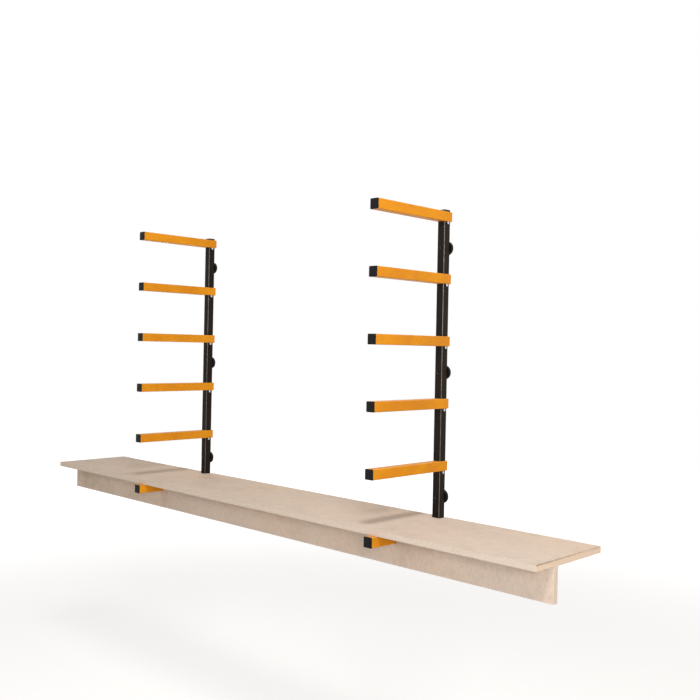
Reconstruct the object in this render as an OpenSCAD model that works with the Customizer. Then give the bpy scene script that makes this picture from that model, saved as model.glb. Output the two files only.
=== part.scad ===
// Wall-mounted lumber rack: two uprights, six tiers of arms and a T-shaped shelf on the lowest pair.
// Millimetres. The wall is the plane y = 0, the arms reach towards -Y and +Z is up.
// The origin lies midway between the columns, at the height of the middle wall bolts.

/* [Rack] */
// Distance between the two columns, centre to centre
column_spacing = 1220; // [800:1:1600]
// Height from one tier of arms to the next
tier_pitch = 195; // [140:1:260]
// Height of an upright above its top arm, with the plug
top_stub = 6; // [5:0.5:40]
// Length of an upright below its bottom arm, with the plug
bottom_stub = 30; // [24:1:60]

/* [Uprights] */
// Outside width of the square upright tube
upright_size = 28; // [22:0.5:34]
// Wall thickness of the upright tube
upright_wall = 2.4; // [1.8:0.1:2.5]
// Outside corner radius of the upright tube
upright_corner_r = 2.8; // [2.7:0.1:4]

/* [Arms] */
// Distance from the wall to the front of an end cap
arm_reach = 345; // [300:1:500]
// Wall thickness of the square arm tube
arm_wall = 1.4; // [1.4:0.1:2.2]
// Gap between an upright and the inside of an arm, on each side
arm_side_gap = 0.25; // [0.25:0.05:1]
// Clearance all round an upright in the arm's windows
window_gap = 0.15; // [0.1:0.05:0.2]
// Outside corner radius of the arm tube
arm_corner_r = 2.5; // [2.45:0.05:3]
// Radius of the arm's rear end, seen from the side
arm_end_r = 3; // [1:0.5:4]
// Gap between the arm's rear end and the wall
arm_wall_gap = 1; // [0.5:0.5:3]

/* [Tube plugs] */
// Thickness of an end cap's visible plate
cap_plate = 3; // [2:0.5:4]
// Length of the part of an end cap inside its tube
cap_plug_length = 16; // [10:1:24]
// Thickness of the plate on an upright's plug
upright_plug_plate = 3; // [2:0.5:4]
// Length of an upright's plug inside its tube
upright_plug_length = 12; // [8:1:14]
// Number of gripping fins on a plug
fin_count = 3; // [2:1:4]
// Thickness of a fin
fin_thickness = 1.2; // [0.8:0.1:1.6]
// Depth of the groove between fins
fin_depth = 1.2; // [0.6:0.1:1.6]
// Wall thickness of a hollow plug
plug_wall = 1.8; // [1.2:0.1:2.4]
// Clearance between a fin and the tube
fin_gap = 0.1; // [0.05:0.05:0.2]

/* [Arm bolts] */
// Diameter of the bolt under each arm
bolt_d = 5; // [4:0.5:6]
// Width across the flats of its head and nut
bolt_flats = 8; // [8:0.5:10]
// Height of the bolt head
bolt_head_h = 3.5; // [3:0.1:4]
// Height of the nut
nut_h = 4.7; // [4:0.1:6]
// Length of bolt that shows past the nut
bolt_overrun = 2; // [1:0.5:4]
// Radial clearance between bolt and upright
bolt_gap = 0.25; // [0.1:0.05:0.4]
// Radial clearance between bolt and nut
thread_gap = 0.05; // [0.02:0.01:0.1]

/* [Wall fixings] */
// Thickness of a spacer, between upright and wall
spacer_thickness = 8; // [6:0.5:16]
// Diameter of a spacer
spacer_d = 44; // [34:1:56]
// Bevel on the spacer's front edge
spacer_bevel = 1.5; // [0.5:0.5:3]
// Diameter of the spacer's spigot, inside the upright
spigot_d = 14; // [12.5:0.5:15]
// Radial clearance around the spigot in the upright
spigot_gap = 0.15; // [0.1:0.05:0.3]
// Diameter of the wall bolt holes
wall_hole_d = 8.5; // [6.5:0.5:10]
// Tiers between one wall bolt and the next
wall_bolt_tiers = 2; // [1:1:2]

/* [Shelf] */
// Length of the shelf board and its rib
shelf_length = 2430; // [2000:1:3000]
// Front-to-back depth of the shelf board
shelf_depth = 318; // [290:1:340]
// Thickness of the shelf board
shelf_thickness = 18; // [12:0.5:25]
// Shift of the shelf's middle from the rack's middle
shelf_shift = -58; // [-120:1:120]
// Gap between the shelf and the wall
shelf_wall_gap = 2; // [1:0.5:10]
// Thickness of the rib
rib_thickness = 18; // [12:0.5:25]
// Depth of the rib below the shelf board
rib_depth = 96; // [70:1:140]
// Distance from the shelf's front edge to the rib
rib_setback = 82; // [50:1:140]
// Clearance around an arm in the rib's notch
notch_gap = 1; // [0.5:0.5:3]
// Clearance around an upright in the shelf board's notch
upright_notch_gap = 2; // [1:0.5:5]

/* [Shelf screws] */
// Diameter of a screw
screw_d = 4; // [3:0.5:5]
// Length of a screw
screw_length = 50; // [40:1:60]
// Diameter of a screw head
screw_head_d = 8; // [7:0.5:10]
// Height of the countersunk part of the head
screw_head_h = 2.5; // [2:0.1:3]
// Radial clearance of a screw in the shelf board
screw_gap = 0.25; // [0.1:0.05:0.5]
// Radial clearance of a screw in the rib
pilot_gap = 0.05; // [0.02:0.01:0.1]
// Distance from a shelf end to its nearest screw
screw_end_margin = 60; // [40:1:100]
// Distance from an arm's middle to the screws beside it
screw_arm_offset = 60; // [40:1:100]

/* [Hidden] */
$fn = 48;
tiers = 6;
sides = [-1, 1];
side_names = ["left", "right"];
hex_sides = 6;
cut = 1;

arm_orange = "#e8961e";
satin_black = "#232329";
plastic_black = "#1b1b1f";
zinc = "#b9bcc0";
mdf = "#d9c7b2";

column_x = column_spacing / 2;
upright_y = -(spacer_thickness + upright_size / 2);
arm_size = upright_size + 2 * (arm_wall + arm_side_gap);
arm_tube_front = arm_reach - cap_plate;
window = upright_size + 2 * window_gap;
upright_top = arm_z(1) + arm_size / 2 + top_stub - upright_plug_plate;
upright_bottom = arm_z(tiers) - arm_size / 2 - bottom_stub + upright_plug_plate;
wall_bolt_rows = [for (row = [-1:1]) row * wall_bolt_tiers * tier_pitch];

shelf_bottom = arm_z(tiers) + arm_size / 2;
shelf_top = shelf_bottom + shelf_thickness;
shelf_front = -(shelf_wall_gap + shelf_depth);
rib_front = shelf_front + rib_setback;
rib_middle = rib_front + rib_thickness / 2;
notch_depth = arm_size + notch_gap;
screw_places = [
    shelf_shift - shelf_length / 2 + screw_end_margin,
    for (side = sides, beside = sides) side * column_x + beside * screw_arm_offset,
    0,
    shelf_shift + shelf_length / 2 - screw_end_margin
];

// Height of the middle of an arm; tier 1 is the top one
function arm_z(tier) = ((tiers + 1) / 2 - tier) * tier_pitch;

// Height of the bolt that a tier's arm rests on
function bolt_z(tier) = arm_z(tier) - arm_size / 2 - bolt_flats / 2;

module rounded_square(size, r) {
    square([size - 2 * r, size], center = true);
    square([size, size - 2 * r], center = true);
    for (x = [-1, 1], y = [-1, 1])
        translate([x, y] * (size / 2 - r)) circle(r = r);
}

module tube_section(size, wall, corner_r) {
    difference() {
        rounded_square(size, corner_r);
        rounded_square(size - 2 * wall, corner_r - wall);
    }
}

// Cylinder along X, centred on its length
module x_cylinder(d, length) {
    rotate([0, 90, 0]) cylinder(d = d, h = length, center = true);
}

// Hexagonal prism along +X with flats above and below
module x_hexagon(flats, length) {
    rotate([0, 90, 0]) rotate([0, 0, 180 / hex_sides])
        cylinder(d = flats / cos(180 / hex_sides), h = length, $fn = hex_sides);
}

// Plug for a square tube: its plate lies above z = 0 and its hollow, finned body below
module tube_plug(size, wall, corner_r, plate, length) {
    inside = size - 2 * wall;
    fin_size = inside - 2 * fin_gap;
    core_size = fin_size - 2 * fin_depth;
    fin_step = (length - fin_thickness) / fin_count;
    inner_r = corner_r - wall;
    difference() {
        union() {
            linear_extrude(plate) rounded_square(size, corner_r);
            translate([0, 0, -length])
                linear_extrude(length + plate / 2) rounded_square(core_size, inner_r);
            for (fin = [0:fin_count - 1])
                translate([0, 0, -length + fin * fin_step])
                    linear_extrude(fin_thickness) rounded_square(fin_size, inner_r);
        }
        translate([0, 0, -length - cut])
            linear_extrude(length + cut) rounded_square(core_size - 2 * plug_wall, inner_r);
    }
}

module upright(side) {
    color(satin_black)
    translate([side * column_x, upright_y, 0])
    difference() {
        translate([0, 0, upright_bottom])
            linear_extrude(upright_top - upright_bottom)
                tube_section(upright_size, upright_wall, upright_corner_r);
        for (tier = [1:tiers])
            translate([0, 0, bolt_z(tier)])
                x_cylinder(bolt_d + 2 * bolt_gap, upright_size + 2 * cut);
        for (z = wall_bolt_rows) translate([0, 0, z]) {
            rotate([90, 0, 0]) cylinder(d = wall_hole_d, h = upright_size / 2 + cut);
            rotate([-90, 0, 0]) cylinder(d = spigot_d + 2 * spigot_gap, h = upright_size / 2 + cut);
        }
    }
}

module upright_plug(side, place) {
    color(plastic_black)
    translate([side * column_x, upright_y, place == "top" ? upright_top : upright_bottom])
    mirror([0, 0, place == "top" ? 0 : 1])
        tube_plug(upright_size, upright_wall, upright_corner_r, upright_plug_plate, upright_plug_length);
}

// Round spacers against the wall; each spigot reaches the inside of the upright's front wall
module wall_spacers(side) {
    hole_r = wall_hole_d / 2;
    spacer_r = spacer_d / 2;
    spigot_end = spacer_thickness + upright_size - upright_wall;
    profile = [
        [hole_r, 0],
        [spacer_r, 0],
        [spacer_r, spacer_thickness - spacer_bevel],
        [spacer_r - spacer_bevel, spacer_thickness],
        [spigot_d / 2, spacer_thickness],
        [spigot_d / 2, spigot_end],
        [hole_r, spigot_end]
    ];
    color(plastic_black)
    for (z = wall_bolt_rows)
        translate([side * column_x, 0, z]) rotate([90, 0, 0])
            rotate_extrude() polygon(profile);
}

// Outline of an arm from the side, with its two rear corners rounded
module arm_side_outline() {
    half = arm_size / 2;
    length = arm_tube_front - arm_wall_gap;
    translate([-arm_tube_front, -half]) square([length - arm_end_r, arm_size]);
    translate([-arm_tube_front, -half + arm_end_r]) square([length, arm_size - 2 * arm_end_r]);
    for (z = [-1, 1])
        translate([-arm_wall_gap - arm_end_r, z * (half - arm_end_r)]) circle(r = arm_end_r);
}

module arm(side, tier) {
    color(arm_orange)
    translate([side * column_x, 0, arm_z(tier)])
    difference() {
        intersection() {
            rotate([90, 0, 0]) linear_extrude(arm_tube_front)
                tube_section(arm_size, arm_wall, arm_corner_r);
            rotate([90, 0, 90]) translate([0, 0, -arm_size])
                linear_extrude(2 * arm_size) arm_side_outline();
        }
        translate([0, upright_y, 0]) cube([window, window, arm_size + 2 * cut], center = true);
    }
}

module end_cap(side, tier) {
    color(plastic_black)
    translate([side * column_x, -arm_tube_front, arm_z(tier)])
    rotate([90, 0, 0])
        tube_plug(arm_size, arm_wall, arm_corner_r, cap_plate, cap_plug_length);
}

module arm_bolts(side) {
    shank = upright_size + nut_h + bolt_overrun;
    color(zinc)
    for (tier = [1:tiers])
        translate([side * column_x + upright_size / 2, upright_y, bolt_z(tier)]) {
            x_hexagon(bolt_flats, bolt_head_h);
            translate([-shank / 2, 0, 0]) x_cylinder(bolt_d, shank);
        }
}

module arm_nuts(side) {
    color(zinc)
    for (tier = [1:tiers])
        translate([side * column_x - upright_size / 2 - nut_h, upright_y, bolt_z(tier)])
        difference() {
            x_hexagon(bolt_flats, nut_h);
            x_cylinder(bolt_d + 2 * thread_gap, 2 * nut_h + 2 * cut);
        }
}

// Cone and shank that a countersunk screw fills, down from z = 0, grown by a radial gap
module screw_space(gap) {
    translate([0, 0, -screw_head_h])
        cylinder(d1 = screw_d + 2 * gap, d2 = screw_head_d + 2 * gap, h = screw_head_h);
    translate([0, 0, -screw_length]) cylinder(d = screw_d + 2 * gap, h = screw_length);
}

// The board's back edge is notched round the uprights, and the notches open towards the wall
module shelf_board() {
    notch_width = upright_size + 2 * upright_notch_gap;
    notch_front = -(spacer_thickness + upright_size + upright_notch_gap);
    color(mdf)
    difference() {
        translate([shelf_shift - shelf_length / 2, shelf_front, shelf_bottom])
            cube([shelf_length, shelf_depth, shelf_thickness]);
        for (side = sides)
            translate([side * column_x - notch_width / 2, notch_front, shelf_bottom - cut])
                cube([notch_width, cut - notch_front, shelf_thickness + 2 * cut]);
        for (x = screw_places) translate([x, rib_middle, shelf_top]) screw_space(screw_gap);
    }
}

module shelf_rib() {
    notch_width = arm_size + 2 * notch_gap;
    color(mdf)
    difference() {
        translate([shelf_shift - shelf_length / 2, rib_front, shelf_bottom - rib_depth])
            cube([shelf_length, rib_thickness, rib_depth]);
        for (side = sides)
            translate([side * column_x - notch_width / 2, rib_front - cut, shelf_bottom - notch_depth])
                cube([notch_width, rib_thickness + 2 * cut, notch_depth + cut]);
        for (x = screw_places) translate([x, rib_middle, shelf_top]) screw_space(pilot_gap);
    }
}

module shelf_screws() {
    recess_length = screw_head_d / 2;
    recess_width = screw_head_d / 8;
    recess_depth = screw_head_h / 2;
    tip_length = 1.5 * screw_d;
    color(zinc)
    for (x = screw_places) translate([x, rib_middle, shelf_top])
        difference() {
            union() {
                translate([0, 0, -screw_head_h])
                    cylinder(d1 = screw_d, d2 = screw_head_d, h = screw_head_h);
                translate([0, 0, tip_length - screw_length])
                    cylinder(d = screw_d, h = screw_length - tip_length - screw_head_h / 2);
                translate([0, 0, -screw_length]) cylinder(d1 = 0, d2 = screw_d, h = tip_length);
            }
            for (turn = [0, 90]) rotate([0, 0, turn])
                cube([recess_length, recess_width, 2 * recess_depth], center = true);
        }
}

for (i = [0:1]) upright(sides[i]);
for (i = [0:1], place = ["top", "bottom"])
    upright_plug(sides[i], place);
for (i = [0:1]) wall_spacers(sides[i]);
for (i = [0:1], tier = [1:tiers])
    arm(sides[i], tier);
for (i = [0:1], tier = [1:tiers])
    end_cap(sides[i], tier);
for (i = [0:1]) arm_bolts(sides[i]);
for (i = [0:1]) arm_nuts(sides[i]);
shelf_board();
shelf_rib();
shelf_screws();
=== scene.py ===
import math

import bmesh
import bpy
import numpy as np
from mathutils import Matrix, Vector


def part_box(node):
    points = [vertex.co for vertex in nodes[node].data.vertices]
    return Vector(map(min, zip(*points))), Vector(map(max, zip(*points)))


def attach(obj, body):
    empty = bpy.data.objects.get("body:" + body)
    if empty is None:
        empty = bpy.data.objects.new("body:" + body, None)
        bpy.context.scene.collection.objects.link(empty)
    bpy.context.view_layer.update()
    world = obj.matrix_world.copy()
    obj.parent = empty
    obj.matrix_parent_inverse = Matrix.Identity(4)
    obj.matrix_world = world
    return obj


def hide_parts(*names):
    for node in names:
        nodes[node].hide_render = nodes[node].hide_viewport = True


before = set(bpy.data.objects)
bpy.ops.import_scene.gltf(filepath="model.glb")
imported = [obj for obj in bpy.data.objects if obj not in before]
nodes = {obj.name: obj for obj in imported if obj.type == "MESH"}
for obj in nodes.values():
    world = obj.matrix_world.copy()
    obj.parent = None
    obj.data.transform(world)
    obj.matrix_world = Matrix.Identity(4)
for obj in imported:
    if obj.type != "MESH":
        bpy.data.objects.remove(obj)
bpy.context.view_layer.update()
sides = ("left", "right")
tiers = range(1, 7)
millimetre = 0.001
print("frame loaded:", len(nodes), "nodes")


# Building blocks for node trees

trees = []
usualSpan = (0.3, 0.7)  # nearly all of a noise's values lie between these


# A source is a node's output, or a plain number, vector or colour
def wire(tree, source, target):
    if isinstance(source, (int, float)):
        target.default_value = source
    elif isinstance(source, tuple):
        target.default_value = (*source, 1.0)[:len(target.default_value)]
    else:
        tree.links.new(source, target)


# Sources go to the node's inputs in order, and None leaves an input as it is
def newNode(tree, kind, *sources, **settings):
    node = tree.nodes.new(f"ShaderNode{kind}")
    for name, value in settings.items():
        setattr(node, name, value)
    for source, target in zip(sources, node.inputs):
        if source is not None:
            wire(tree, source, target)
    return node


def mathNode(tree, operation, *sources, clamp=False):
    return newNode(tree, "Math", *sources, operation=operation, use_clamp=clamp).outputs[0]


def times(tree, first, second, clamp=False):
    return mathNode(tree, "MULTIPLY", first, second, clamp=clamp)


def vectorMath(tree, operation, *sources):
    return newNode(tree, "VectorMath", *sources, operation=operation).outputs


def stretched(tree, vector, scale):
    return vectorMath(tree, "MULTIPLY", vector, scale)["Vector"]


def mapRange(tree, value, low, high, toLow=0.0, toHigh=1.0, curve="SMOOTHSTEP"):
    ends = (low, high, toLow, toHigh)
    return newNode(tree, "MapRange", value, *ends, interpolation_type=curve).outputs["Result"]


def mixColour(tree, factor, first, second):
    # the sockets for colours come after five for numbers and vectors
    skipped = [None] * 5
    return newNode(tree, "Mix", factor, *skipped, first, second, data_type="RGBA").outputs[2]


# The colour over shows as far as mask times strength says
def layered(tree, under, over, mask, strength):
    return mixColour(tree, times(tree, mask, strength), under, over)


def noise(tree, vector, scale, detail, roughness):
    return newNode(tree, "TexNoise", vector, None, scale, detail, roughness).outputs["Fac"]


def facing(tree):
    return newNode(tree, "TexCoord").outputs["Normal"]


def split(tree, vector):
    return newNode(tree, "SeparateXYZ", vector).outputs


def bumped(tree, height, strength, distance, normal=None):
    # the distance is in metres, and the filter width between it and the height stays as it is
    return newNode(tree, "Bump", strength, distance, None, height, normal).outputs["Normal"]


# Every group takes a Vector first, then the inputs given, and gives masks or heights
def newGroup(name, inputs, outputs):
    group = bpy.data.node_groups.new(name, "ShaderNodeTree")
    trees.append(group)
    group.interface.new_socket(name="Vector", in_out="INPUT", socket_type="NodeSocketVector")
    for title, value in inputs.items():
        kind = "NodeSocketFloat" if isinstance(value, float) else "NodeSocketVector"
        group.interface.new_socket(name=title, in_out="INPUT", socket_type=kind).default_value = value
    for title in outputs:
        group.interface.new_socket(name=title, in_out="OUTPUT", socket_type="NodeSocketFloat")
    start, end = group.nodes.new("NodeGroupInput"), group.nodes.new("NodeGroupOutput")
    return group, start.outputs, end.inputs


def useGroup(tree, group, *sources):
    return newNode(tree, "Group", *sources, node_tree=group).outputs


def newMaterial(name):
    material = bpy.data.materials.new(name)
    material.use_nodes = True
    tree = material.node_tree
    trees.append(tree)
    place = newNode(tree, "TexCoord").outputs["Object"]
    return material, tree, tree.nodes["Principled BSDF"], place


# Each node stands one column to the left of the leftmost node that it feeds
def layOut(tree, columnWidth=240, rowHeight=300):
    columns = {node.name: 0 for node in tree.nodes}
    moved = True
    while moved:
        moved = False
        for link in tree.links:
            here, there = link.from_node.name, link.to_node.name
            if columns[here] <= columns[there]:
                columns[here] = columns[there] + 1
                moved = True
    filled = {}
    for node in tree.nodes:
        column = columns[node.name]
        row = filled.get(column, 0)
        node.location = (-column * columnWidth, -row * rowHeight)
        filled[column] = row + 1


# Skin of a sprayed and baked powder coat: soft cells a millimetre or so across, and a slow drift
def makePowderSkin():
    group, given, made = newGroup("powderSkin", {"Cells per metre": 700.0}, ("Height", "Drift", "Speck"))
    cells = noise(group, given["Vector"], given["Cells per metre"], 1.5, 0.4)
    fine = noise(group, given["Vector"], 5200.0, 2.0, 0.6)
    specks = noise(group, given["Vector"], 1400.0, 0.0, 0.5)
    wire(group, mathNode(group, "ADD", times(group, cells, 0.8), times(group, fine, 0.2)), made["Height"])
    wire(group, noise(group, given["Vector"], 9.0, 4.0, 0.55), made["Drift"])
    wire(group, mapRange(group, specks, 0.74, 0.82), made["Speck"])
    return group


# Where the surface turns sharply: rounded normal against the true one, broken up by noise
# the chips are wear, and on powder coat the rim mask carries a painted highlight
def makeEdgeWearAndHighlight(rimRadius=0.0011):
    group, given, made = newGroup("edgeWearAndHighlight", {"Amount": 0.5, "Patch scale": 60.0}, ("Rim", "Chip"))
    rounded = newNode(group, "Bevel", rimRadius, samples=6).outputs["Normal"]
    flat = newNode(group, "NewGeometry").outputs["True Normal"]
    rim = mapRange(group, vectorMath(group, "DOT_PRODUCT", rounded, flat)["Value"], 0.995, 0.86)
    broad = noise(group, given["Vector"], given["Patch scale"], 5.0, 0.65)
    grain = noise(group, given["Vector"], 900.0, 3.0, 0.7)
    both = mathNode(group, "MULTIPLY_ADD", grain, 0.45, broad)
    reach = mathNode(group, "SUBTRACT", 1.05, times(group, given["Amount"], 0.42))
    patches = mapRange(group, both, reach, mathNode(group, "ADD", reach, 0.06))
    wire(group, rim, made["Rim"])
    wire(group, times(group, rim, patches, clamp=True), made["Chip"])
    return group


# Fine dust that has settled on faces that look up
def makeSettledDust():
    group, given, made = newGroup("settledDust", {"Amount": 0.3}, ("Mask",))
    upward = mapRange(group, split(group, facing(group))["Z"], 0.35, 0.98)
    clouds = mapRange(group, noise(group, given["Vector"], 26.0, 5.0, 0.6), 0.3, 0.75)
    grains = noise(group, given["Vector"], 2600.0, 2.0, 0.7)
    dusted = times(group, upward, times(group, clouds, grains))
    wire(group, times(group, dusted, given["Amount"], clamp=True), made["Mask"])
    return group


# Where a tube's rounded corner faces between two of its sides, where the powder coat gets a painted
# highlight
def makeTubeCorner():
    group, given, made = newGroup("tubeCorner", {}, ("Mask",))
    parts = split(group, vectorMath(group, "ABSOLUTE", facing(group))["Vector"])
    widest = mathNode(group, "MAXIMUM", mathNode(group, "MAXIMUM", parts["X"], parts["Y"]), parts["Z"])
    between = mapRange(group, widest, 0.95, 0.80)
    kept = mapRange(group, noise(group, given["Vector"], 55.0, 4.0, 0.6), 0.25, 0.55, 0.45, 1.0)
    wire(group, times(group, between, kept, clamp=True), made["Mask"])
    return group


# Long hairline rubs: noise drawn out along one axis, kept only where it peaks
def makeRubMarks():
    inputs = {"Stretch": (1.0, 1.0, 1.0), "Amount": 0.5, "On top": 1.0}
    group, given, made = newGroup("rubMarks", inputs, ("Mask",))
    lines = noise(group, stretched(group, given["Vector"], given["Stretch"]), 1.0, 4.0, 0.75)
    places = noise(group, given["Vector"], 18.0, 2.0, 0.5)
    kept = times(group, mapRange(group, lines, 0.61, 0.70), mapRange(group, places, 0.42, 0.62))
    upward = mapRange(group, split(group, facing(group))["Z"], 0.5, 0.95, 1.0, given["On top"])
    wire(group, times(group, kept, times(group, upward, given["Amount"]), clamp=True), made["Mask"])
    return group


# Pressed wood fibre: short pale and dark flecks lying both ways over a mottled ground
def makeFibreFlecks():
    group, given, made = newGroup("fibreFlecks", {"Coarseness": 1.0}, ("Pale", "Dark", "Ground", "Fuzz"))
    sized = stretched(group, given["Vector"], given["Coarseness"])
    along = noise(group, stretched(group, sized, (240.0, 1100.0, 900.0)), 1.0, 2.0, 0.55)
    across = noise(group, stretched(group, sized, (1000.0, 260.0, 420.0)), 1.0, 2.0, 0.55)
    skew = noise(group, stretched(group, sized, (620.0, 700.0, 240.0)), 1.0, 2.0, 0.6)
    palest = mathNode(group, "MAXIMUM", along, across)
    darkest = mathNode(group, "MAXIMUM", skew, mathNode(group, "SUBTRACT", 1.0, along))
    wire(group, mapRange(group, palest, 0.58, 0.74), made["Pale"])
    wire(group, mapRange(group, darkest, 0.64, 0.80), made["Dark"])
    wire(group, noise(group, sized, 5.5, 6.0, 0.62), made["Ground"])
    wire(group, noise(group, sized, 2300.0, 3.0, 0.7), made["Fuzz"])
    return group


# Slow changes of tone over a board: blotches a finger wide, streaks drawn one way, broad smudges from
# handling, and stretches that are warmer
def makeBoardTone():
    outputs = ("Blotch", "Streak", "Smudge", "Warmth")
    group, given, made = newGroup("boardTone", {"Stretch": (1.0, 1.0, 1.0)}, outputs)
    blotches = noise(group, given["Vector"], 120.0, 5.0, 0.74)
    streaks = noise(group, stretched(group, given["Vector"], given["Stretch"]), 1.0, 4.0, 0.62)
    wire(group, mapRange(group, blotches, 0.36, 0.64), made["Blotch"])
    wire(group, mapRange(group, streaks, 0.36, 0.64), made["Streak"])
    wire(group, mapRange(group, noise(group, given["Vector"], 7.0, 5.0, 0.6), 0.5, 0.72), made["Smudge"])
    wire(group, mapRange(group, noise(group, given["Vector"], 3.4, 3.0, 0.5), 0.38, 0.62), made["Warmth"])
    return group


powderSkin = makePowderSkin()
edgeWearAndHighlight = makeEdgeWearAndHighlight()
settledDust = makeSettledDust()
rubMarks = makeRubMarks()
tubeCorner = makeTubeCorner()
fibreFlecks = makeFibreFlecks()
boardTone = makeBoardTone()


# Powder coat in any colour: drift in tone, peel, rubs, painted highlights along edges and tube corners,
# chipped edges down to steel and a little dust
def makePowderCoat(name, look):
    material, tree, shader, place = newMaterial(name)
    skin = useGroup(tree, powderSkin, place, look["cells"])
    wear = useGroup(tree, edgeWearAndHighlight, place, look["wear"], look["patches"])
    dust = useGroup(tree, settledDust, place, look["dust"])["Mask"]
    rubs = useGroup(tree, rubMarks, place, look["rubStretch"], look["rubs"], look["rubsOnTop"])["Mask"]
    corner = useGroup(tree, tubeCorner, place)["Mask"]
    tone = mixColour(tree, mapRange(tree, skin["Drift"], *usualSpan), look["deep"], look["colour"])
    tone = layered(tree, tone, look["speck"], skin["Speck"], look["specks"])
    # painted highlight: a lighter tone laid along sharp edges
    tone = layered(tree, tone, look["rim"], wear["Rim"], look["rimPaintedHighlight"])
    # painted highlight: a lighter tone laid along the rounded tube corners
    tone = layered(tree, tone, look["rim"], corner, look["cornerPaintedHighlight"])
    tone = mixColour(tree, rubs, tone, look["rubbed"])
    tone = mixColour(tree, wear["Chip"], tone, look["bare"])
    tone = mixColour(tree, dust, tone, look["dustColour"])
    wire(tree, tone, shader.inputs["Base Color"])
    rough = mapRange(tree, skin["Drift"], *usualSpan, look["smooth"], look["rough"])
    rough = mathNode(tree, "ADD", rough, times(tree, rubs, look["rubRoughness"]))
    rough = mathNode(tree, "ADD", rough, times(tree, dust, look["dustRoughness"]), clamp=True)
    wire(tree, rough, shader.inputs["Roughness"])
    wire(tree, times(tree, wear["Chip"], look["chipMetal"]), shader.inputs["Metallic"])
    wire(tree, times(tree, corner, look["cornerGloss"]), shader.inputs["Coat Weight"])
    shader.inputs["Coat Roughness"].default_value = 0.2
    shader.inputs["Specular IOR Level"].default_value = look["gloss"]
    # the peel is drawn nearly flat round the corners
    flatter = mathNode(tree, "SUBTRACT", 1.0, times(tree, corner, look["cornerFlatness"]))
    peel = bumped(tree, times(tree, skin["Height"], flatter), look["peelStrength"], look["peelDepth"])
    chipped = mathNode(tree, "SUBTRACT", 1.0, wear["Chip"])
    wire(tree, bumped(tree, chipped, 0.5, look["coatDepth"], peel), shader.inputs["Normal"])
    return material


coatLook = {
    "specks": 0.25, "rubRoughness": 0.12, "dustRoughness": 0.35, "chipMetal": 0.85,
    "cornerFlatness": 0.85, "peelDepth": 0.0004, "coatDepth": 0.00012,
}
orangeCoat = makePowderCoat("orangePowderCoat", {
    **coatLook,
    "colour": (0.700, 0.274, 0.010), "deep": (0.605, 0.215, 0.007), "speck": (0.82, 0.37, 0.03),
    "rim": (0.88, 0.43, 0.05), "rimPaintedHighlight": 0.35, "rubbed": (0.84, 0.40, 0.05), "bare": (0.36, 0.34, 0.32),
    "dustColour": (0.66, 0.55, 0.42), "cells": 620.0, "wear": 0.55, "patches": 70.0, "dust": 0.42,
    "rubs": 0.30, "rubsOnTop": 2.6, "rubStretch": (14.0, 900.0, 500.0), "smooth": 0.36, "rough": 0.48,
    "gloss": 0.14, "peelStrength": 0.22, "cornerPaintedHighlight": 0.25, "cornerGloss": 0.10,
})
blackCoat = makePowderCoat("blackPowderCoat", {
    **coatLook,
    "colour": (0.0148, 0.0099, 0.0068), "deep": (0.0108, 0.0071, 0.0048), "speck": (0.038, 0.031, 0.027),
    "rim": (0.21, 0.205, 0.21), "rimPaintedHighlight": 0.3, "rubbed": (0.05, 0.048, 0.046),
    "bare": (0.30, 0.29, 0.28), "dustColour": (0.30, 0.26, 0.21), "cells": 900.0, "wear": 0.45,
    "patches": 60.0, "dust": 0.35, "rubs": 0.35, "rubsOnTop": 1.0, "rubStretch": (600.0, 600.0, 11.0),
    "smooth": 0.28, "rough": 0.40, "gloss": 0.06, "peelStrength": 0.26, "cornerPaintedHighlight": 0.72,
    "cornerGloss": 0.7,
})


# Moulded black plastic: spark-eroded grain, dark rims with pale scuffs, and dust
def makeMouldedPlastic(name, look):
    material, tree, shader, place = newMaterial(name)
    grain = noise(tree, place, look["grain"], 2.0, 0.7)
    drift = noise(tree, place, 30.0, 4.0, 0.55)
    wear = useGroup(tree, edgeWearAndHighlight, place, look["wear"], look["patches"])
    dust = useGroup(tree, settledDust, place, look["dust"])["Mask"]
    rubs = useGroup(tree, rubMarks, place, look["rubStretch"], look["rubs"])["Mask"]
    tone = mixColour(tree, mapRange(tree, drift, *usualSpan), look["deep"], look["colour"])
    tone = layered(tree, tone, look["rim"], wear["Rim"], 0.8)
    tone = mixColour(tree, wear["Chip"], tone, look["scuff"])
    tone = mixColour(tree, rubs, tone, look["scuff"])
    tone = mixColour(tree, dust, tone, look["dustColour"])
    wire(tree, tone, shader.inputs["Base Color"])
    rough = mapRange(tree, grain, *usualSpan, look["smooth"], look["rough"])
    wire(tree, mathNode(tree, "ADD", rough, dust, clamp=True), shader.inputs["Roughness"])
    shader.inputs["Specular IOR Level"].default_value = look["gloss"]
    wire(tree, bumped(tree, grain, look["grainStrength"], 0.00012), shader.inputs["Normal"])
    return material


blackPlastic = makeMouldedPlastic("mouldedBlackPlastic", {
    "colour": (0.0088, 0.0086, 0.0092), "deep": (0.0052, 0.0050, 0.0054), "rim": (0.0035, 0.0034, 0.0034),
    "scuff": (0.085, 0.083, 0.082), "dustColour": (0.32, 0.28, 0.23), "grain": 3400.0, "wear": 0.55,
    "patches": 140.0, "dust": 0.35, "rubs": 0.10, "rubStretch": (420.0, 420.0, 60.0), "smooth": 0.36,
    "rough": 0.54, "gloss": 0.10, "grainStrength": 0.35,
})


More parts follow.
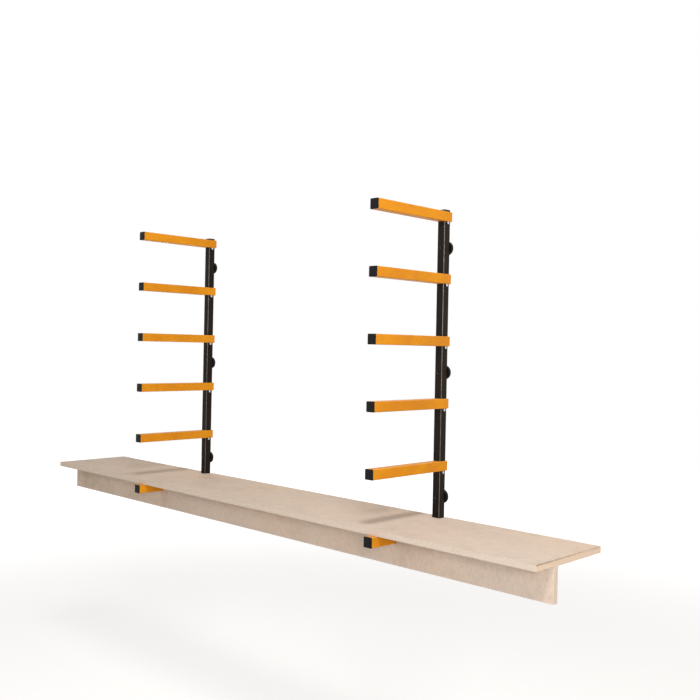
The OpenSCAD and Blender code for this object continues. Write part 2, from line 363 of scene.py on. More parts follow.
# Plated steel: brushed drift, faint passivation tints and brighter rims
def makePlating(name, look):
    material, tree, shader, place = newMaterial(name)
    drift = noise(tree, place, 260.0, 4.0, 0.6)
    tint = noise(tree, place, 95.0, 2.0, 0.5)
    fine = noise(tree, place, 4200.0, 2.0, 0.6)
    wear = useGroup(tree, edgeWearAndHighlight, place, look["wear"], look["patches"])
    tone = mixColour(tree, mapRange(tree, drift, *usualSpan), look["dull"], look["bright"])
    tone = mixColour(tree, mapRange(tree, tint, 0.45, 0.75, 0.0, look["tinting"]), tone, look["tint"])
    tone = layered(tree, tone, look["rim"], wear["Rim"], 0.5)
    wire(tree, tone, shader.inputs["Base Color"])
    rough = mapRange(tree, drift, 0.25, 0.75, look["smooth"], look["rough"])
    wire(tree, rough, shader.inputs["Roughness"])
    shader.inputs["Metallic"].default_value = 1.0
    wire(tree, bumped(tree, fine, 0.25, 0.00006), shader.inputs["Normal"])
    return material


brightZinc = makePlating("brightZincPlating", {
    "bright": (0.56, 0.57, 0.60), "dull": (0.36, 0.37, 0.40), "tint": (0.46, 0.52, 0.66), "tinting": 0.45,
    "rim": (0.75, 0.75, 0.76), "smooth": 0.26, "rough": 0.44, "wear": 0.6, "patches": 220.0,
})
yellowZinc = makePlating("yellowZincPlating", {
    "bright": (0.74, 0.60, 0.30), "dull": (0.55, 0.42, 0.20), "tint": (0.66, 0.50, 0.46), "tinting": 0.55,
    "rim": (0.86, 0.76, 0.50), "smooth": 0.24, "rough": 0.40, "wear": 0.6, "patches": 220.0,
})


# Fibreboard: mottled, flecked faces, sawn edges that are paler and looser towards the middle, and painted
# light on the end faces
def makeFibreboard(name, look):
    material, tree, shader, place = newMaterial(name)
    low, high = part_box(look["node"])
    axis = "XYZ".index(look["throughAxis"])
    middle, half = ((high + low) / 2)[axis], ((high - low) / 2)[axis]
    flecks = useGroup(tree, fibreFlecks, place, 1.0)
    coarse = useGroup(tree, fibreFlecks, place, 0.7)
    broad = useGroup(tree, boardTone, place, look["streakStretch"])
    dust = useGroup(tree, settledDust, place, look["dust"])["Mask"]
    sanding = useGroup(tree, rubMarks, place, look["sandingStretch"], look["sanding"])["Mask"]
    spot, way = split(tree, place), split(tree, facing(tree))
    sawn = mapRange(tree, mathNode(tree, "ABSOLUTE", way[axis]), 0.9, 0.35)
    fromMiddle = mathNode(tree, "ABSOLUTE", mathNode(tree, "SUBTRACT", spot[axis], middle))
    skinLayer = mapRange(tree, mathNode(tree, "DIVIDE", fromMiddle, half), 0.35, 0.95)

    face = mixColour(tree, mapRange(tree, flecks["Ground"], 0.32, 0.68), look["faceDeep"], look["face"])
    rearward = mapRange(tree, spot["Y"], float(low[1]), float(high[1]), look["warmFront"], 1.0)
    face = layered(tree, face, look["warm"], times(tree, broad["Warmth"], rearward), look["warming"])
    face = layered(tree, face, look["blotch"], broad["Blotch"], look["blotchiness"])
    face = layered(tree, face, look["streak"], broad["Streak"], look["streakiness"])
    face = layered(tree, face, look["smudge"], broad["Smudge"], look["smudging"])
    face = layered(tree, face, look["palest"], flecks["Pale"], look["palesOnFace"])
    face = layered(tree, face, look["darkest"], flecks["Dark"], look["darksOnFace"])
    face = mixColour(tree, sanding, face, look["sanded"])
    edge = mixColour(tree, skinLayer, look["core"], look["outer"])
    edge = layered(tree, edge, look["sawMark"], broad["Blotch"], look["sawMarks"])
    edge = layered(tree, edge, look["palest"], coarse["Pale"], look["palesOnEdge"])
    edge = layered(tree, edge, look["darkest"], coarse["Dark"], look["darksOnEdge"])
    # painted light: the end faces take a warmer, lighter tone, as where light from the side falls on them
    atEnds = mapRange(tree, mathNode(tree, "ABSOLUTE", way["X"]), 0.6, 0.95)
    edge = layered(tree, edge, look["endPaintedLight"], atEnds, look["endPaintedLightShare"])
    tone = mixColour(tree, sawn, face, edge)

    # the top corner of the right end is darker, less towards the back, with smears beside it on the top
    right, top = float(high[0]), float(high[2])

    def near(along, end, far, close):
        # nothing at the distance far inside the board's end, and all of it from close on
        return mapRange(tree, spot[along], end - far, end - close)

    forward = mapRange(tree, spot["Y"], look["darkCornerTo"], float(low[1]), 0.45, 1.0)
    uneven = mapRange(tree, broad["Blotch"], 0.0, 0.8, 0.45, 1.0)
    onTop = near("Z", top, 0.001, 0.0003)
    onEnd = times(tree, near("X", right, 0.0014, 0.0003), near("Z", top, look["darkCornerDepth"], 0.0008))
    overTop = times(tree, onTop, near("X", right, 0.0032, 0.0008))
    corner = times(tree, mathNode(tree, "MAXIMUM", onEnd, overTop), times(tree, forward, uneven))
    tone = layered(tree, tone, look["darkCorner"], corner, look["darkCornerShare"])
    beside = times(tree, times(tree, near("X", right, look["smearedWidth"], 0.003), onTop), forward)
    smears = times(tree, beside, mapRange(tree, broad["Blotch"], 0.35, 0.9))
    tone = layered(tree, tone, look["smeared"], smears, look["smearing"])
    tone = mixColour(tree, dust, tone, look["dustColour"])
    wire(tree, tone, shader.inputs["Base Color"])
    rough = mapRange(tree, sawn, 0.0, 1.0, look["faceRough"], look["edgeRough"])
    wire(tree, rough, shader.inputs["Roughness"])
    shader.inputs["Specular IOR Level"].default_value = 0.2
    fuzz = times(tree, flecks["Fuzz"], mapRange(tree, sawn, 0.0, 1.0, 0.35, 1.0))
    lay = bumped(tree, fuzz, 0.5, 0.0004)
    lay = bumped(tree, broad["Streak"], 0.25, 0.0004, lay)
    wire(tree, bumped(tree, flecks["Pale"], 0.2, 0.00015, lay), shader.inputs["Normal"])
    return material


boardLook = {
    "face": (0.690, 0.566, 0.480), "faceDeep": (0.628, 0.512, 0.432), "blotch": (0.455, 0.355, 0.270),
    "streak": (0.77, 0.66, 0.57), "smudge": (0.46, 0.36, 0.275), "palest": (0.84, 0.76, 0.66),
    "darkest": (0.27, 0.19, 0.13), "sanded": (0.72, 0.62, 0.53), "core": (0.690, 0.582, 0.500),
    "outer": (0.650, 0.538, 0.455), "sawMark": (0.585, 0.475, 0.385), "warm": (0.755, 0.570, 0.432),
    "darkCorner": (0.24, 0.155, 0.095), "smeared": (0.50, 0.385, 0.305), "dustColour": (0.78, 0.70, 0.60),
    "faceRough": 0.70, "edgeRough": 0.92, "dust": 0.5, "sanding": 0.35, "darkCornerDepth": 0.0058,
    "darkCornerTo": -0.02, "smearedWidth": 0.03, "palesOnFace": 0.42, "darksOnFace": 0.36, "sawMarks": 0.3,
    "palesOnEdge": 0.45, "darksOnEdge": 0.4,
}
shelfFibre = makeFibreboard("fibreboardShelf", {
    **boardLook, "node": "shelf_board", "throughAxis": "Z", "streakStretch": (16.0, 130.0, 130.0),
    "sandingStretch": (5.0, 520.0, 520.0), "blotchiness": 0.26, "streakiness": 0.18, "smudging": 0.35,
    "warming": 0.65, "warmFront": 0.1, "darkCornerShare": 0.85, "smearing": 0.75,
    "endPaintedLight": (0.81, 0.615, 0.455), "endPaintedLightShare": 0.75,
})
ribFibre = makeFibreboard("fibreboardRib", {
    **boardLook, "face": (0.735, 0.603, 0.515), "faceDeep": (0.672, 0.549, 0.468),
    "node": "shelf_rib", "throughAxis": "Y", "streakStretch": (190.0, 190.0, 60.0),
    "sandingStretch": (520.0, 520.0, 9.0), "blotchiness": 0.30, "streakiness": 0.45, "smudging": 0.5,
    "warming": 0.45, "warmFront": 1.0, "darkCornerShare": 0.0, "smearing": 0.0,
    "endPaintedLight": (0.69, 0.595, 0.50), "endPaintedLightShare": 0.8,
})
print("materials ready:", len(bpy.data.materials))


# Mesh helpers. A shape is (points, quads, lids); lids are closing polygons of any length

def gridShape(rings, lidStart=False, lidEnd=False):
    # one closed ring of points per step; a quad's corners are a point, the next one in its ring, and the
    # same two in the ring after
    rows, columns = rings.shape[:2]
    here = np.arange(rows * columns).reshape(rows, columns)
    after = np.roll(here, -1, axis=1)
    quads = np.stack([here[:-1], after[:-1], after[1:], here[1:]], axis=-1).reshape(-1, 4)
    lids = []
    if lidStart:
        lids.append(here[0][::-1].tolist())
    if lidEnd:
        lids.append(here[-1].tolist())
    return rings.reshape(-1, 3), quads, lids


def joinShapes(shapes):
    points, quads, lids, start = [], [], [], 0
    for shapePoints, shapeQuads, shapeLids in shapes:
        points.append(shapePoints)
        quads.append(shapeQuads + start)
        lids += [[corner + start for corner in lid] for lid in shapeLids]
        start += len(shapePoints)
    return np.concatenate(points), np.concatenate(quads), lids


def placeShapes(shape, places):
    points, quads, lids = shape
    return joinShapes([(points + np.asarray(place), quads, lids) for place in places])


def addPiece(name, mesh, material, body, node):
    mesh.polygons.foreach_set("use_smooth", np.ones(len(mesh.polygons), bool))
    mesh.materials.append(material)
    piece = bpy.data.objects.new(name, mesh)
    bpy.context.scene.collection.objects.link(piece)
    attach(piece, body)
    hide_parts(node)
    return piece


def makePiece(name, shape, material, body, node, mergeDistance=1e-7):
    points, quads, lids = shape
    mesh = bpy.data.meshes.new(name)
    mesh.from_pydata((points * millimetre).tolist(), [], quads.tolist() + lids)
    work = bmesh.new()
    work.from_mesh(mesh)
    bmesh.ops.remove_doubles(work, verts=work.verts, dist=mergeDistance)
    bmesh.ops.recalc_face_normals(work, faces=work.faces)
    work.to_mesh(mesh)
    work.free()
    return addPiece(name, mesh, material, body, node)


def softenEdges(piece, width, steps=2, angle=35):
    bevel = piece.modifiers.new("softEdges", "BEVEL")
    bevel.width = width * millimetre
    bevel.segments = steps
    bevel.limit_method = "ANGLE"
    bevel.angle_limit = math.radians(angle)
    bevel.use_clamp_overlap = False
    bevel.harden_normals = True
    weights = piece.modifiers.new("evenShading", "WEIGHTED_NORMAL")
    weights.keep_sharp = True
    weights.weight = 80


# Outline of a rounded square: each corner's centre plus the radius times (cosine, sine) of the angle,
# anticlockwise from the right side
def roundedSquare(half, radius, arcAngles):
    # one row of angles does for all four corners, or each has its own
    arcs = np.broadcast_to(arcAngles, (4, np.shape(arcAngles)[-1]))
    angles = np.radians(arcs + 90 * np.arange(4)[:, None]).ravel()
    signs = np.array([[1, 1], [-1, 1], [-1, -1], [1, -1]])
    corners = np.repeat(signs * (half - radius), arcs.shape[1], axis=0)
    return corners + radius * np.stack([np.cos(angles), np.sin(angles)], axis=-1)


# Lowest and highest corner of a node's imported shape, in millimetres
def boxOf(node):
    return [np.array(corner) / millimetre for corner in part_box(node)]


# Arms

armShape = {
    "wall": 1.4, "cornerRadius": 2.5, "endRadius": 3.0, "windowGap": 0.15, "edgeSoftness": 0.3,
    "lengthStep": 34.0, "bendLead": 0.5, "restGap": 0.02,
}
uprightShape = {"wall": 2.4, "cornerRadius": 2.8, "edgeSoftness": 0.25}
plugForm = {
    "fins": 3, "finThickness": 1.2, "finDepth": 1.2, "finGap": 0.1, "plugWall": 1.8, "crown": 0.45,
    "edgeRound": 0.8, "gateRadii": (0.3, 0.7, 1.0, 1.3), "gateDepths": (0.22, 0.22, 0.17, 0.05),
    "gateEdge": 1.6, "faceShares": (0.7, 0.45, 0.25, 0.12),
}


def openEdges(quads, count):
    # an edge is open where no other face runs along it the other way
    starts, ends = quads.ravel(), np.roll(quads, -1, axis=1).ravel()
    alone = ~np.isin(starts * count + ends, ends * count + starts)
    return starts[alone], ends[alone]


# Tube of an arm: an outer and an inner rounded square carried along Y, both left out where the upright
# passes, and joined by a rim along every open edge. The rear end stands back from the tube's end by
# radius - sqrt(radius^2 - rise^2), with rise the height past the start of the end's rounding
def armTube(node):
    low, high = boxOf(node)
    middle = (low + high) / 2
    # a hair less than the tube's own size, so that the shelf lies on it without cutting in
    half = (high[0] - low[0]) / 2 - armShape["restGap"]
    wall, cornerRadius, radius = armShape["wall"], armShape["cornerRadius"], armShape["endRadius"]
    uprightLow, uprightHigh = boxOf("upright_left")
    windowMiddle = (uprightLow[1] + uprightHigh[1]) / 2
    windowHalf = (uprightHigh[1] - uprightLow[1]) / 2 + armShape["windowGap"]
    windowRear = windowMiddle + windowHalf
    windowFront = windowMiddle - windowHalf
    straight = np.concatenate([
        np.arange(low[1], windowFront - armShape["lengthStep"] / 2, armShape["lengthStep"]),
        [windowFront, windowRear],
    ])
    bendStart = high[1] - radius - armShape["bendLead"]
    share = np.array([0.0, 0.5, 1.0])[:, None]
    skins = []
    for inset in (0.0, wall):
        # the window's side cuts the corner where its radius times the cosine is the way past its centre
        pastCentre = windowHalf - (half - cornerRadius)
        cut = math.degrees(math.acos(pastCentre / (cornerRadius - inset)))
        towards = np.append(np.linspace(0, cut, 7), [(cut + 90) / 2, 90])
        away = 90 - towards[::-1]
        arcAngles = np.array([towards, away, towards, away])
        outline = roundedSquare(half - inset, cornerRadius - inset, arcAngles)
        rise = np.clip(np.abs(outline[:, 1]) - (half - radius), 0, radius)
        rearEnd = high[1] - (radius - np.sqrt(radius**2 - rise**2))
        along = np.concatenate([
            np.repeat(straight[:, None], len(outline), axis=1),
            bendStart + share * (rearEnd - bendStart)[None, :],
        ])
        rings = np.empty((*along.shape, 3))
        rings[..., 0] = middle[0] + outline[:, 0]
        rings[..., 1] = along
        rings[..., 2] = middle[2] + outline[:, 1]
        skins.append(rings)
    outer, quads, lids = gridShape(skins[0])
    inner = skins[1].reshape(-1, 3)
    centres = outer[quads].mean(axis=1)
    besideMiddle = np.abs(centres[:, 0] - middle[0]) < windowHalf
    inWall = np.abs(centres[:, 2] - middle[2]) > half - wall
    inLength = (centres[:, 1] > windowFront) & (centres[:, 1] < windowRear)
    kept = quads[~(besideMiddle & inWall & inLength)]
    outward = kept[:, ::-1]
    starts, ends = openEdges(outward, len(outer))
    rims = np.stack([ends, starts, starts + len(outer), ends + len(outer)], axis=-1)
    faces = np.concatenate([outward, kept + len(outer), rims])
    return np.concatenate([outer, inner]), faces, lids


def makeArm(side, tier):
    node = f"arm_{side}_{tier}"
    name = f"arm_tube_{side}_{tier}"
    arm = makePiece(name, armTube(node), orangeCoat, "rack", node)
    softenEdges(arm, armShape["edgeSoftness"])


# Plug for a square tube, grown outwards along +Z from the tube's end at z = 0.
# Rings step from the crowned face over a rounded edge, down the finned body and up inside the hollow
def plugShape(half, cornerRadius, wall, plate, length):
    form = plugForm
    angles = np.linspace(0, 90, 9)
    edge, fin = form["edgeRound"], form["finThickness"]
    finInset = wall + form["finGap"]
    coreInset = finInset + form["finDepth"]
    hollowInset = coreInset + form["plugWall"]
    # the face falls by the crown times the square of the share of the way out from its middle, and a
    # small gate mark is sunk there
    gateInsets = half - np.array([*form["gateRadii"], form["gateEdge"]])
    faceInsets = np.append(gateInsets, half * np.array(form["faceShares"]))
    faceHeights = plate - form["crown"] * (1 - faceInsets / half) ** 2
    faceHeights[:len(form["gateDepths"])] -= form["gateDepths"]
    # the edge's inset is its radius less the sine's share, and it falls by its radius less the cosine's
    turn = np.radians(np.linspace(0, 90, 5))
    edgeInsets = edge * (1 - np.sin(turn))
    edgeHeights = plate - form["crown"] - edge * (1 - np.cos(turn))
    path = [*zip(faceInsets, faceHeights), *zip(edgeInsets, edgeHeights)]
    path += [(0.0, 0.2), (0.15, 0.0), (coreInset, 0.0)]
    step = (length - fin) / form["fins"]
    for count in reversed(range(form["fins"])):
        foot = -length + count * step
        path += [
            (coreInset, foot + fin + 0.3), (finInset, foot + fin),
            (finInset, foot + 0.5), (finInset + 0.4, foot),
        ]
        if count:
            path.append((coreInset, foot))
    path += [(hollowInset, -length), (hollowInset, -0.6), (hollowInset + 0.6, 0.0)]
    rings = []
    for inset, height in path:
        size = half - inset
        radius = cornerRadius - inset if inset < edge else cornerRadius - edge + (inset - edge) * 0.9
        outline = roundedSquare(size, float(np.clip(radius, 0.3, size)), angles)
        rings.append(np.column_stack([outline, np.full(len(outline), height)]))
    return gridShape(np.array(rings), lidStart=True, lidEnd=True)


def turned(shape, columns):
    # columns says where the shape's own X, Y and Z point
    points, quads, lids = shape
    return points @ np.array(columns, float), quads, lids


def makeEndCap(side, tier):
    node = f"end_cap_{side}_{tier}"
    low, high = boxOf(node)
    middle = (low + high) / 2
    plate = boxOf(f"arm_{side}_{tier}")[0][1] - low[1]
    length = high[1] - low[1] - plate
    half = (high[0] - low[0]) / 2 - armShape["restGap"]
    shape = plugShape(half, armShape["cornerRadius"], armShape["wall"], plate, length)
    facingOut = turned(shape, [(1, 0, 0), (0, 0, 1), (0, -1, 0)])
    placed = placeShapes(facingOut, [(middle[0], low[1] + plate, middle[2])])
    makePiece(f"arm_end_plug_{side}_{tier}", placed, blackPlastic, "rack", node)


def makeUprightPlug(side, place):
    node = f"upright_plug_{place}_{side}"
    low, high = boxOf(node)
    middle = (low + high) / 2
    tubeLow, tubeHigh = boxOf(f"upright_{side}")
    tubeEnd = tubeHigh[2] if place == "top" else tubeLow[2]
    plate = abs((high[2] if place == "top" else low[2]) - tubeEnd)
    length = high[2] - low[2] - plate
    half = (high[0] - low[0]) / 2
    shape = plugShape(half, uprightShape["cornerRadius"], uprightShape["wall"], plate, length)
    up = 1 if place == "top" else -1
    facingOut = turned(shape, [(1, 0, 0), (0, up, 0), (0, 0, up)])
    placed = placeShapes(facingOut, [(middle[0], middle[1], tubeEnd)])
    makePiece(f"upright_end_plug_{place}_{side}", placed, blackPlastic, "rack", node)


for side in sides:
    for tier in tiers:
        makeArm(side, tier)
        makeEndCap(side, tier)
    for place in ("top", "bottom"):
        makeUprightPlug(side, place)
print("arms and plugs ready")


# Wall spacers: a profile of radius against distance from the wall, turned about the bolt's axis

spacerShape = {
    "rows": (390.0, 0.0, -390.0), "holeRadius": 4.25, "spigotRadius": 7.0, "edgeRound": 1.5, "steps": 72,
}


def lathe(profile, steps):
    # a profile point (radius, along) becomes radius times (cosine, sine) of each angle in X and Z, with
    # along on the other axis
    angles = np.linspace(0, 2 * math.pi, steps, endpoint=False)
    radius, along = np.array(profile).T
    circle = np.stack([np.cos(angles), np.sin(angles)], axis=-1)
    lengthwise = np.repeat(along[:, None, None], steps, axis=1)
    points, quads, lids = gridShape(np.concatenate([radius[:, None, None] * circle, lengthwise], axis=2))
    return points[:, (0, 2, 1)], quads, lids


def makeSpacers(side):
    node = f"wall_spacers_{side}"
    low, high = boxOf(node)
    uprightRear = boxOf(f"upright_{side}")[1][1]
    radius = (high[0] - low[0]) / 2
    thickness = high[1] - uprightRear
    spigotEnd = high[1] - low[1]
    hole, spigot, edge = spacerShape["holeRadius"], spacerShape["spigotRadius"], spacerShape["edgeRound"]
    turn = np.radians(np.linspace(0, 90, 6))
    rounded = zip(radius - edge + edge * np.cos(turn), thickness - edge + edge * np.sin(turn))
    profile = [
        (hole, 0.0), (radius - 3.0, 0.0), (radius - 0.4, 0.0), (radius, 0.4), *rounded,
        (radius - 5.0, thickness), (radius - 5.6, thickness - 0.5), (spigot + 4.2, thickness - 0.5),
        (spigot + 3.6, thickness), (spigot + 0.3, thickness), (spigot, thickness + 0.3),
        (spigot, spigotEnd - 0.5), (spigot - 0.5, spigotEnd), (hole + 0.3, spigotEnd),
        (hole, spigotEnd - 0.3), (hole, 0.4), (hole, 0.0),
    ]
    points, quads, lids = lathe(profile, spacerShape["steps"])
    outward = points * np.array([1, -1, 1])
    middleX = (low[0] + high[0]) / 2
    shape = placeShapes((outward, quads, lids), [(middleX, high[1], row) for row in spacerShape["rows"]])
    makePiece(f"wall_spacer_discs_{side}", shape, blackPlastic, "rack", node)


# Bolts and nuts

fastener = {
    "flats": 8.0, "crownRadius": 3.76, "headHeight": 3.5, "washerFace": 0.3, "dimpleRadius": 1.2,
    "boltRadius": 2.5, "threadPitch": 0.8, "threadDepth": 0.42, "threadShown": 3.2, "threadStep": 0.1,
    "tipLength": 0.35, "nutHeight": 4.7, "overrun": 2.0, "boreGap": 0.05, "boreChamfer": 0.5,
    "chamfer": math.radians(30), "steps": 72, "edgeSoftness": 0.08,
}


# A hexagon's radius is the half width across flats over the cosine of the angle from its nearest flat
def hexagonRadius(angles):
    fromFlat = (angles + math.pi / 6) % (math.pi / 3) - math.pi / 6
    return fastener["flats"] / 2 / np.cos(fromFlat)


def ringAt(radius, along, angles):
    # (along, radius times sine, radius times cosine) of each angle, so that flats face up and down
    radius = np.broadcast_to(radius, angles.shape)
    along = np.broadcast_to(along, angles.shape)
    return np.stack([along, radius * np.sin(angles), radius * np.cos(angles)], axis=-1)


# Head, washer face, plain shank and a thread at the end. The head's top falls by the tangent of the
# chamfer times the way out past the crown
def boltShape(span):
    angles = np.linspace(0, 2 * math.pi, fastener["steps"], endpoint=False)
    hexagon = hexagonRadius(angles)
    head, face, crown = fastener["headHeight"], fastener["washerFace"], fastener["crownRadius"]
    drop = (hexagon - crown) * math.tan(fastener["chamfer"])
    radius, shown, step = fastener["boltRadius"], fastener["threadShown"], fastener["threadStep"]
    rings = [
        ringAt(fastener["dimpleRadius"], head, angles), ringAt(crown, head, angles),
        ringAt(hexagon, head - drop, angles), ringAt(hexagon, face, angles), ringAt(crown, face, angles),
        ringAt(crown, 0.0, angles), ringAt(radius, 0.0, angles),
        ringAt(radius, -span + shown + step, angles),
    ]
    # the thread is a triangle wave in the distance along less the angle's share of one pitch, raised to
    # a power that sharpens its crests, and it ends in a narrower tip
    for along in np.arange(shown, fastener["tipLength"], -step):
        turns = (along / fastener["threadPitch"] - angles / (2 * math.pi)) % 1.0
        depth = fastener["threadDepth"] * np.abs(2 * turns - 1) ** 0.8
        rings.append(ringAt(radius - depth, -span + along, angles))
    rings += [ringAt(radius - 0.55, -span + 0.2, angles), ringAt(radius - 0.8, -span, angles)]
    return gridShape(np.array(rings), lidStart=True, lidEnd=True)


# Both faces fall as a bolt head's does, and the bore is a plain one
def nutShape():
    angles = np.linspace(0, 2 * math.pi, fastener["steps"], endpoint=False)
    hexagon = hexagonRadius(angles)
    height, crown = fastener["nutHeight"], fastener["crownRadius"]
    bore, cut = fastener["boltRadius"] + fastener["boreGap"], fastener["boreChamfer"]
    drop = (hexagon - crown) * math.tan(fastener["chamfer"])
    rings = [
        ringAt(bore, cut, angles), ringAt(bore + cut, 0.0, angles), ringAt(crown, 0.0, angles),
        ringAt(hexagon, drop, angles), ringAt(hexagon, height - drop, angles),
        ringAt(crown, height, angles), ringAt(bore + cut, height, angles),
        ringAt(bore, height - cut, angles), ringAt(bore, cut, angles),
    ]
    return gridShape(np.array(rings))


def boltHeights(side):
    # each bolt lies half its flats below its arm
    return [boxOf(f"arm_{side}_{tier}")[0][2] - fastener["flats"] / 2 for tier in tiers]


def makeFasteners(side):
    low, high = boxOf(f"upright_{side}")
    middleY = (low[1] + high[1]) / 2
    span = high[0] - low[0] + fastener["nutHeight"] + fastener["overrun"]
    heights = boltHeights(side)
    bolts = placeShapes(boltShape(span), [(high[0], middleY, height) for height in heights])
    nutFace = low[0] - fastener["nutHeight"]
    nuts = placeShapes(nutShape(), [(nutFace, middleY, height) for height in heights])
    for kind, shape in (("bolts", bolts), ("nuts", nuts)):
        name, node = f"arm_rest_{kind}_{side}", f"arm_{kind}_{side}"
        piece = makePiece(name, shape, brightZinc, "rack", node)
        softenEdges(piece, fastener["edgeSoftness"], steps=1, angle=28)


for side in sides:
    makeSpacers(side)
    makeFasteners(side)
print("spacers, bolts and nuts ready")


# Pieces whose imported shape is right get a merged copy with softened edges

def softenedCopy(node, name, material, body, width, mergeDistance=2e-6, flatAngle=0.5):
    mesh = nodes[node].data.copy()
    work = bmesh.new()
    work.from_mesh(mesh)
    bmesh.ops.remove_doubles(work, verts=work.verts, dist=mergeDistance)
    limit = math.radians(flatAngle)
    bmesh.ops.dissolve_limit(work, angle_limit=limit, verts=work.verts, edges=work.edges)
    work.to_mesh(mesh)
    work.free()
    mesh.materials.clear()
    softenEdges(addPiece(name, mesh, material, body, node), width)


for side in sides:
    node, name, softness = f"upright_{side}", f"upright_tube_{side}", uprightShape["edgeSoftness"]
    softenedCopy(node, name, blackCoat, "rack", softness)
boardSoftness = 0.7
softenedCopy("shelf_board", "shelf_top_board", shelfFibre, "shelf", boardSoftness)
softenedCopy("shelf_rib", "shelf_front_rib", ribFibre, "shelf", boardSoftness)
print("uprights and shelf ready")


# Shelf screws: a flat head with a cross recess, a cone under it and a threaded shank

screwShape = {
    "radius": 2.0, "headRadius": 4.0, "headHeight": 2.5, "length": 50.0, "recessArm": 2.3,
    "recessHalfWidth": 0.45, "recessTaper": 0.25, "recessRunout": 0.5, "recessDepth": 1.4,
    "threadPitch": 2.0, "threadDepth": 0.55, "threadStep": 0.4, "tipLength": 5.0, "steps": 96,
}


def screwPlaces():
    screwLow, screwHigh = boxOf("shelf_screws")
    middleY = (screwLow[1] + screwHigh[1]) / 2
    columns = [sum(boxOf(f"upright_{side}"))[0] / 2 for side in sides]
    ends = [screwLow[0] + screwShape["headRadius"], screwHigh[0] - screwShape["headRadius"]]
    # beside each column a screw stands as far off as the end ones do from the board's end
    offset = ends[0] - boxOf("shelf_board")[0][0]
    beside = [column + way * offset for column in columns for way in (-1, 1)]
    return [(x, middleY, screwHigh[2]) for x in (*ends, *beside, 0.0)]


# Rings about Z from the middle of the head outwards, then down the cone and the thread to the tip
def screwSolid():
    form = screwShape
    angles = np.linspace(0, 2 * math.pi, form["steps"], endpoint=False)
    cosine, sine = np.cos(angles), np.sin(angles)

    def ring(radius, height):
        return np.stack([radius * cosine, radius * sine, np.broadcast_to(height, angles.shape)], axis=-1)

    rings = []
    # the recess is its depth times the share by which a point is within an arm of the cross, times the
    # share by which it is within the arms' reach
    for radius in np.linspace(0.15, form["headRadius"] - 0.25, 16):
        across = np.minimum(np.abs(radius * cosine), np.abs(radius * sine))
        inArm = np.clip((form["recessHalfWidth"] - across) / form["recessTaper"] + 0.5, 0, 1)
        inReach = np.clip((form["recessArm"] - radius) / form["recessRunout"] + 0.5, 0, 1)
        rings.append(ring(radius, -form["recessDepth"] * inArm * inReach))
    rings += [
        ring(form["headRadius"] - 0.1, -0.02), ring(form["headRadius"], -0.15),
        ring(form["radius"], -form["headHeight"]),
    ]
    # the thread is a sharpened triangle wave in the distance along plus the angle's share of one pitch
    threadStart, threadEnd = form["headHeight"] + form["threadStep"], form["length"] - form["tipLength"]
    for along in np.arange(threadStart, threadEnd, form["threadStep"]):
        turns = (along / form["threadPitch"] + angles / (2 * math.pi)) % 1.0
        rings.append(ring(form["radius"] - form["threadDepth"] * np.abs(2 * turns - 1) ** 0.6, -along))
    rings += [ring(1.2, -form["length"] + 3.5), ring(0.15, -form["length"])]
    return gridShape(np.array(rings), lidStart=True, lidEnd=True)


screws = placeShapes(screwSolid(), screwPlaces())
makePiece("shelf_wood_screws", screws, yellowZinc, "shelf", "shelf_screws")
print("shelf screws ready")


# Studio: a pale floor that fades into the white surround, and broad soft lamps

studio = {
    "floorHeight": -1.45, "floorRadius": 9.0, "fadeFrom": 2.0, "fadeTo": 6.0, "shadowShown": 0.42,
    "floorColour": (0.97, 0.97, 0.965), "floorBounce": (0.74, 0.735, 0.72), "floorGlow": 1.22,
    "surround": 0.29, "surroundTint": (1.0, 0.93, 0.83),
}
lamps = (
    {"name": "keyPanel", "place": (2.3, -1.8, 2.75), "aim": (0.3, -0.2, -0.1), "size": (0.9, 0.9),
     "power": 104.0, "colour": (1.0, 0.985, 0.96)},
    {"name": "sidePanel", "place": (3.6, -3.0, 0.62), "aim": (0.3, -0.2, -0.1), "size": (1.8, 1.2),
     "power": 84.0, "colour": (1.0, 1.0, 1.0)},
    {"name": "fillPanel", "place": (-1.7, -3.2, 0.5), "aim": (0.2, -0.2, 0.0), "size": (1.6, 2.0),
     "power": 10.0, "colour": (1.0, 0.96, 0.90)},
    {"name": "rearPanel", "place": (3.1, 2.9, 0.5), "aim": (0.3, 0.0, 0.0), "size": (1.6, 2.0),
     "power": 11.0, "colour": (1.0, 0.70, 0.43)},
    {"name": "leftPanel", "place": (-3.6, 1.9, -0.15), "aim": (-0.1, -0.1, 0.1), "size": (1.4, 1.4),
     "power": 18.0, "colour": (1.0, 0.98, 0.95), "spread": 60.0, "mirrored": False},
)


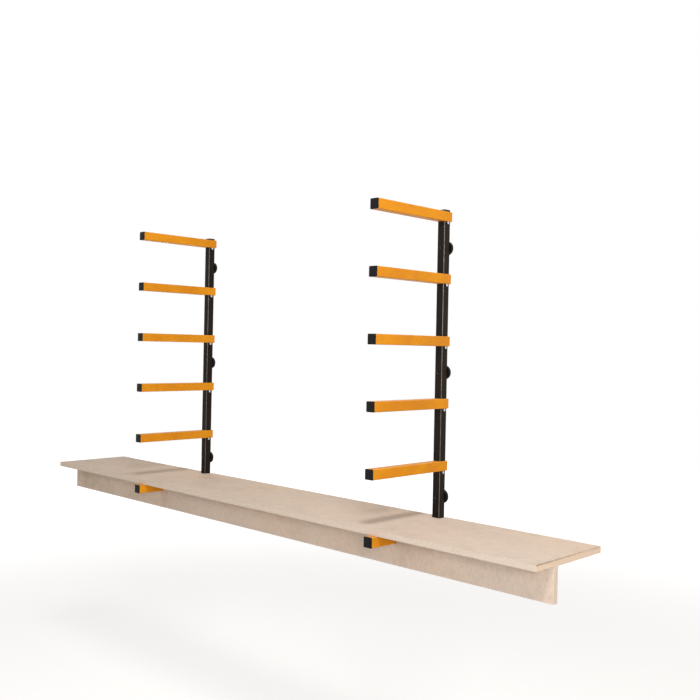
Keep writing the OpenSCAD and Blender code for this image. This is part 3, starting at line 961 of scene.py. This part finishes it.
# Rings at shares of the floor's radius times (cosine, sine) of each angle. Seen directly the floor keeps
# only a share of its shading, less and less with the distance out, and from below it isn't seen
def makeFloor():
    shares = np.linspace(0.02, 1.0, 24)
    angles = np.linspace(2 * math.pi, 0, 96, endpoint=False)
    circle = np.stack([np.cos(angles), np.sin(angles), np.zeros_like(angles)], axis=-1)
    sunk = np.array([0, 0, studio["floorHeight"]])
    rings = shares[:, None, None] * studio["floorRadius"] * circle + sunk
    points, quads, lids = gridShape(rings, lidStart=True)
    mesh = bpy.data.meshes.new("studioFloor")
    mesh.from_pydata(points.tolist(), [], quads.tolist() + lids)
    floor = bpy.data.objects.new("studio_floor", mesh)
    bpy.context.scene.collection.objects.link(floor)
    material, tree, shader, place = newMaterial("paleFloor")
    shader.inputs["Roughness"].default_value = 0.9
    shader.inputs["Specular IOR Level"].default_value = 0.1
    far = vectorMath(tree, "LENGTH", stretched(tree, place, (1.0, 1.0, 0.0)))["Value"]
    near = mapRange(tree, far, studio["fadeFrom"], studio["fadeTo"], studio["shadowShown"], 0.0)
    rays = newNode(tree, "LightPath").outputs
    seen = mathNode(tree, "MAXIMUM", rays["Is Camera Ray"], rays["Is Glossy Ray"])
    colour = mixColour(tree, seen, studio["floorBounce"], studio["floorColour"])
    wire(tree, colour, shader.inputs["Base Color"])
    white = times(tree, seen, mathNode(tree, "SUBTRACT", 1.0, near))
    glow = newNode(tree, "Emission", None, studio["floorGlow"]).outputs[0]
    lit = newNode(tree, "MixShader", white, shader.outputs[0], glow).outputs[0]
    under = newNode(tree, "NewGeometry").outputs["Backfacing"]
    clear = newNode(tree, "BsdfTransparent").outputs[0]
    oneSided = newNode(tree, "MixShader", under, lit, clear).outputs[0]
    wire(tree, oneSided, tree.nodes["Material Output"].inputs["Surface"])
    mesh.materials.append(material)


# White where it is seen, and a dimmer, warmer light on everything else
def makeSurround():
    world = bpy.data.worlds.new("studioSurround")
    bpy.context.scene.world = world
    world.use_nodes = True
    tree = world.node_tree
    trees.append(tree)
    background = tree.nodes["Background"]
    rays = newNode(tree, "LightPath").outputs
    seen = mathNode(tree, "MAXIMUM", rays["Is Camera Ray"], rays["Is Glossy Ray"])
    seen = mathNode(tree, "MAXIMUM", seen, rays["Is Transmission Ray"])
    colour = mixColour(tree, seen, studio["surroundTint"], (1.0, 1.0, 1.0))
    wire(tree, colour, background.inputs["Color"])
    strength = mapRange(tree, seen, 0.0, 1.0, studio["surround"], 1.0, "LINEAR")
    wire(tree, strength, background.inputs["Strength"])


def makeLamp(lamp):
    data = bpy.data.lights.new(lamp["name"], "AREA")
    data.shape = "RECTANGLE"
    data.size, data.size_y = lamp["size"]
    data.energy = lamp["power"]
    data.color = lamp["colour"]
    data.spread = math.radians(lamp.get("spread", 180.0))
    light = bpy.data.objects.new(lamp["name"], data)
    bpy.context.scene.collection.objects.link(light)
    light.location = lamp["place"]
    light.visible_camera = False
    light.visible_glossy = lamp.get("mirrored", True)
    towards = Vector(lamp["aim"]) - Vector(lamp["place"])
    light.rotation_euler = towards.to_track_quat("-Z", "Y").to_euler()


makeFloor()
makeSurround()
for lamp in lamps:
    makeLamp(lamp)
for tree in trees:
    layOut(tree)


# Camera at the photograph's viewpoint, solved from the rack's own edges

viewpoint = {
    "place": (2.3238, -2.1779, 0.0672), "azimuth": 44.462, "elevation": -0.056, "roll": 1.142,
    "focalPixels": 873.35, "imagePixels": 700.0, "sensorWidth": 36.0,
}


def makeCamera():
    azimuth, elevation, roll = (math.radians(viewpoint[name]) for name in ("azimuth", "elevation", "roll"))
    ahead = math.cos(elevation)
    forward = Vector((-math.sin(azimuth) * ahead, math.cos(azimuth) * ahead, math.sin(elevation)))
    level = Vector((math.cos(azimuth), math.sin(azimuth), 0.0))
    upright = level.cross(forward)
    right = math.cos(roll) * level + math.sin(roll) * upright
    up = -math.sin(roll) * level + math.cos(roll) * upright
    data = bpy.data.cameras.new("photoCamera")
    data.sensor_width = viewpoint["sensorWidth"]
    data.lens = viewpoint["focalPixels"] / viewpoint["imagePixels"] * viewpoint["sensorWidth"]
    camera = bpy.data.objects.new("photoCamera", data)
    bpy.context.scene.collection.objects.link(camera)
    turn = Matrix((right, up, -forward)).transposed()
    camera.matrix_world = Matrix.Translation(viewpoint["place"]) @ turn.to_4x4()
    bpy.context.scene.camera = camera


makeCamera()
bpy.context.scene.view_settings.view_transform = "Standard"
print("studio and camera ready")
